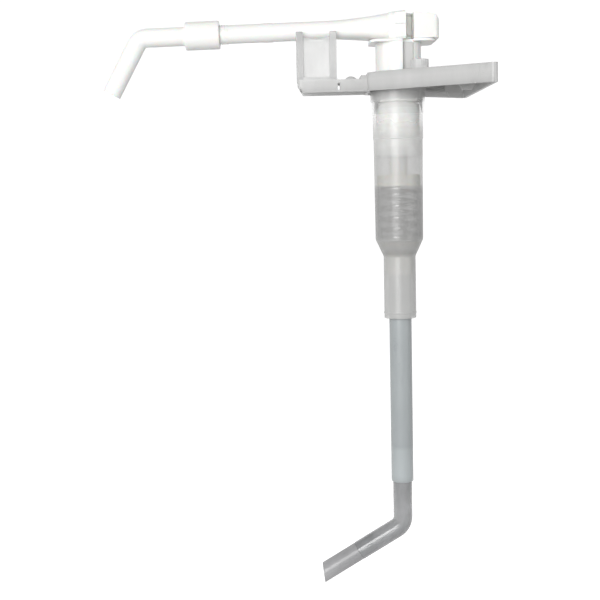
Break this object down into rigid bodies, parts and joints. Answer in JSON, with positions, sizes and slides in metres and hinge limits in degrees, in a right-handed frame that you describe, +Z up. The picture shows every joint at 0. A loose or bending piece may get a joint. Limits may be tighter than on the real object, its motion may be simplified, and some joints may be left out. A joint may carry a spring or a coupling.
{
  "type": "condiment pump dispenser",
  "caption": "Hand pump for sauces: fan-shaped lid with a spout guide, sprung press head with a long spout and bent nozzle, hanging barrel, dip tube and sloping foot.",
  "frame": {"origin": "on the pump's axis, level with the lid's seating face", "axes": "+Z up along the pump's axis, the spout points to -X, the lid is symmetric about the XZ plane"},
  "size_m": [0.2325, 0.1198, 0.3585],
  "materials": {
    "lid_plastic": "translucent natural polypropylene",
    "barrel_plastic": "translucent natural polypropylene",
    "white_plastic": "moulded white, softly glossy",
    "cream_plastic": "moulded cream",
    "seal_rubber": "white food-grade silicone",
    "spring_steel": "drawn stainless wire",
    "ball_steel": "polished stainless ball",
    "tube_plastic": "milky polyethylene tube",
    "clear_plastic": "clear flexible tube, slightly grey",
    "frosted_plastic": "frosted tube"
  },
  "bodies": {
    "lid_and_barrel": {"lid": "lid_plastic", "spout_guide": "lid_plastic", "vent_plug": "lid_plastic", "pump_barrel": "barrel_plastic", "barrel_gasket": "seal_rubber", "stem_guide": "white_plastic", "stem_wiper": "seal_rubber", "spring_seat": "cream_plastic", "return_spring": "spring_steel", "inlet_valve_seat": "cream_plastic", "inlet_ball_cage": "cream_plastic", "dip_tube": "tube_plastic"},
    "plunger": {"head_column": "white_plastic", "head_orings": "seal_rubber", "spout_arm": "white_plastic", "press_block": "white_plastic", "block_pegs": "white_plastic", "plunger_stem": "white_plastic", "piston": "cream_plastic", "piston_seal": "seal_rubber", "outlet_valve_seat": "cream_plastic", "outlet_ball_cage": "cream_plastic"},
    "nozzle": {"nozzle": "white_plastic", "nozzle_oring": "seal_rubber"},
    "inlet_ball": {"inlet_ball": "ball_steel"},
    "outlet_ball": {"outlet_ball": "ball_steel"},
    "suction_foot": {"suction_elbow": "clear_plastic", "suction_tip": "frosted_plastic"}
  },
  "joints": [
    {"name": "plunger_press", "type": "slide", "parent": "lid_and_barrel", "child": "plunger", "axis": [0, 0, -1], "range_m": [0, 0.016], "stiffness_N_per_m": 800, "springref_m": -0.02, "deforming": ["return_spring"]},
    {"name": "nozzle_turn", "type": "hinge", "parent": "plunger", "child": "nozzle", "pos_m": [-0.10838, 0, 0.03713], "axis": [-0.9998, 0, -0.0209], "range_deg": [-90, 90]},
    {"name": "outlet_ball_lift", "type": "slide", "parent": "plunger", "child": "outlet_ball", "axis": [0, 0, 1], "range_m": [0, 0.0018]},
    {"name": "inlet_ball_lift", "type": "slide", "parent": "lid_and_barrel", "child": "inlet_ball", "axis": [0, 0, 1], "range_m": [0, 0.0018]},
    {"name": "foot_turn", "type": "hinge", "parent": "lid_and_barrel", "child": "suction_foot", "pos_m": [0, 0, -0.2443], "axis": [0, 0, 1], "continuous": true}
  ]
}
